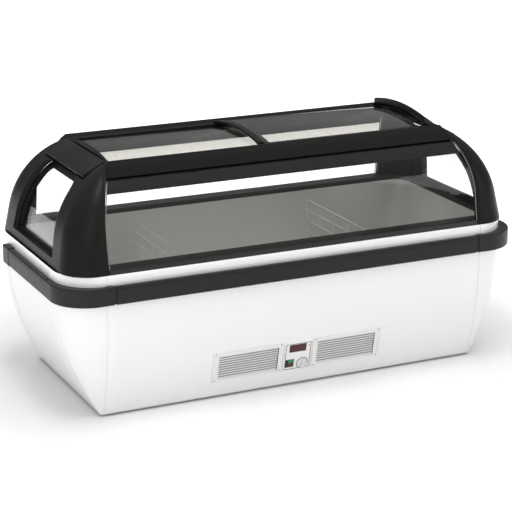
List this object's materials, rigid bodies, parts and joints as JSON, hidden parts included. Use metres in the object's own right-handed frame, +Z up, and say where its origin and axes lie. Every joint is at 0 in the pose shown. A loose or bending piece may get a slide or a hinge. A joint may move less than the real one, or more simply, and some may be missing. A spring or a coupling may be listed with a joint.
{
  "type": "chest freezer",
  "caption": "Island display freezer: boat-shaped insulated tub, bumper, curved glass hood and arched sliding glass lids over a chilled well.",
  "frame": {"origin": "on the floor under the middle of the object's box", "axes": "+X along the length towards the upper lid's end, -Y is the front with the grille and controls, +Z up"},
  "size_m": [1.85, 0.8335, 0.951],
  "materials": {
    "white_coated_steel": "gloss",
    "galvanised_steel": "satin",
    "foot_plastic": "matte",
    "liner_aluminium": "satin",
    "coil_aluminium": "satin",
    "foam": "matte",
    "coated_wire": "satin",
    "bumper_black": "satin",
    "screw_steel": "satin",
    "hood_black": "satin",
    "rail_black": "satin",
    "runner_plastic": "satin",
    "hood_glass": "polished",
    "lid_glass": "polished",
    "grille_white": "satin",
    "display_red": "gloss",
    "housing_black": "satin",
    "knob_white": "satin",
    "rocker_green": "gloss",
    "rocker_red": "gloss",
    "compressor_black": "satin",
    "mount_rubber": "matte"
  },
  "bodies": {
    "cabinet": {"base_pan": "galvanised_steel", "glide_feet": "foot_plastic", "front_panel": "white_coated_steel", "rear_panel": "white_coated_steel", "left_end_panel": "white_coated_steel", "right_end_panel": "white_coated_steel", "front_left_corner": "white_coated_steel", "front_right_corner": "white_coated_steel", "rear_left_corner": "white_coated_steel", "rear_right_corner": "white_coated_steel", "insulation_foam": "foam", "inner_liner": "liner_aluminium", "evaporator_coil": "coil_aluminium", "floor_grids": "coated_wire", "divider_grids": "coated_wire", "bumper_front": "bumper_black", "bumper_left": "bumper_black", "bumper_right": "bumper_black", "bumper_corner_left": "bumper_black", "bumper_corner_right": "bumper_black", "bumper_end_caps": "bumper_black", "bumper_screws": "screw_steel", "hood_sill": "hood_black", "front_glass": "hood_glass", "rear_glass": "hood_glass", "left_end_glass": "hood_glass", "right_end_glass": "hood_glass", "left_window_frame": "hood_black", "right_window_frame": "hood_black", "front_left_post": "hood_black", "front_right_post": "hood_black", "rear_left_post": "hood_black", "rear_right_post": "hood_black", "left_end_cap": "hood_black", "right_end_cap": "hood_black", "front_rail": "rail_black", "rear_rail": "rail_black", "header_strips": "hood_black", "left_grille": "grille_white", "right_grille": "grille_white", "control_panel": "grille_white", "display_window": "display_red", "cover_screws": "screw_steel", "switch_housing": "housing_black", "compressor": "compressor_black", "compressor_mounts": "mount_rubber", "condenser": "coil_aluminium", "fan_shroud": "galvanised_steel"},
    "left_lid": {"left_lid_glass": "lid_glass", "left_lid_runners": "runner_plastic", "left_lid_handle": "hood_black", "left_lid_seal": "hood_black"},
    "right_lid": {"right_lid_glass": "lid_glass", "right_lid_runners": "runner_plastic", "right_lid_handle": "hood_black", "right_lid_seal": "hood_black"},
    "thermostat_knob": {"thermostat_knob": "knob_white"},
    "green_rocker": {"green_rocker": "rocker_green"},
    "red_rocker": {"red_rocker": "rocker_red"},
    "condenser_fan": {"fan_blades": "coil_aluminium"}
  },
  "joints": [
    {"name": "left_lid_slide", "type": "slide", "parent": "cabinet", "child": "left_lid", "axis": [1, 0, 0], "range_m": [0, 0.56]},
    {"name": "right_lid_slide", "type": "slide", "parent": "cabinet", "child": "right_lid", "axis": [-1, 0, 0], "range_m": [0, 0.56]},
    {"name": "thermostat_turn", "type": "hinge", "parent": "cabinet", "child": "thermostat_knob", "pos_m": [0.021, -0.35182, 0.09119], "axis": [0, -0.9753, -0.2211], "range_deg": [-270, 0]},
    {"name": "green_rocker_press", "type": "hinge", "parent": "cabinet", "child": "green_rocker", "pos_m": [-0.031, -0.35004, 0.10594], "axis": [0, -0.2211, 0.9753], "range_deg": [-14, 0]},
    {"name": "red_rocker_press", "type": "hinge", "parent": "cabinet", "child": "red_rocker", "pos_m": [-0.031, -0.34639, 0.08985], "axis": [0, -0.2211, 0.9753], "range_deg": [-14, 0]},
    {"name": "condenser_fan_spin", "type": "hinge", "parent": "cabinet", "child": "condenser_fan", "pos_m": [0.205, -0.2087, 0.11], "axis": [0, -1, 0], "continuous": true}
  ]
}
